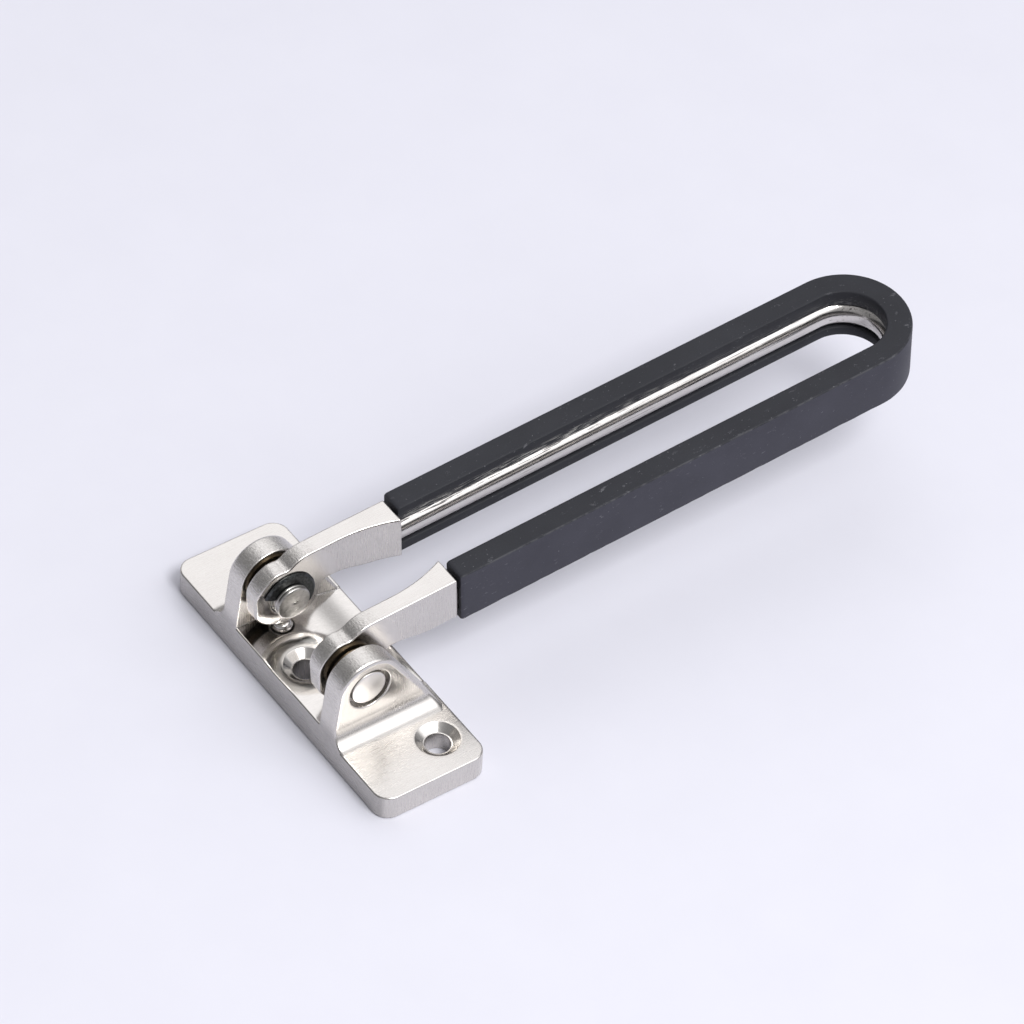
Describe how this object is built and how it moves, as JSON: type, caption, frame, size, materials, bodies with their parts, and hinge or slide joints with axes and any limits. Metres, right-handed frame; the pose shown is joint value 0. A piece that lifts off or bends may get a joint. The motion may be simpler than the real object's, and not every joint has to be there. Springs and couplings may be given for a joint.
{
  "type": "swing bar door guard",
  "caption": "Swing-bar door guard: a plate with ears carries a U-shaped bar on pins, covered by a rubber sleeve, that swings over to limit how far a door opens.",
  "frame": {"origin": "centre of the plate's flat back face, which lies against the door", "axes": "+X along the plate and the pivot axis, +Y from the plate towards the closed end of the U-bar, +Z out of the door"},
  "size_m": [0.08, 0.1595, 0.0373],
  "materials": {
    "satin_nickel": "satin brushed nickel",
    "polished_nickel": "polished",
    "black_rubber": "matt, moulded",
    "blackened_steel": "black oxide",
    "bronze": "sintered bronze",
    "spring_steel": "plain wire"
  },
  "bodies": {
    "plate": {"base_plate": "satin_nickel", "pivot_pin_left": "polished_nickel", "pivot_pin_right": "polished_nickel", "retaining_ring_left": "blackened_steel", "retaining_ring_right": "blackened_steel", "friction_washer_left": "bronze", "friction_washer_right": "bronze", "detent_spring_left": "spring_steel", "detent_spring_right": "spring_steel", "set_screw_left": "polished_nickel", "set_screw_right": "polished_nickel"},
    "swing_bar": {"u_bar": "satin_nickel", "rubber_sleeve": "black_rubber"},
    "plunger_left": {"detent_plunger_left": "polished_nickel"},
    "plunger_right": {"detent_plunger_right": "polished_nickel"}
  },
  "joints": [
    {"name": "bar_swing", "type": "hinge", "parent": "plate", "child": "swing_bar", "pos_m": [0, -0.0043, 0.0182], "axis": [1, 0, 0], "range_deg": [-8.8, 178]},
    {"name": "plunger_left_press", "type": "slide", "parent": "plate", "child": "plunger_left", "axis": [0, 0, 1], "range_m": [-0.0012, 0], "stiffness_N_per_m": 800, "springref_m": 0.0008, "deforming": ["detent_spring_left"]},
    {"name": "plunger_right_press", "type": "slide", "parent": "plate", "child": "plunger_right", "axis": [0, 0, 1], "range_m": [-0.0012, 0], "stiffness_N_per_m": 800, "springref_m": 0.0008, "deforming": ["detent_spring_right"]}
  ]
}
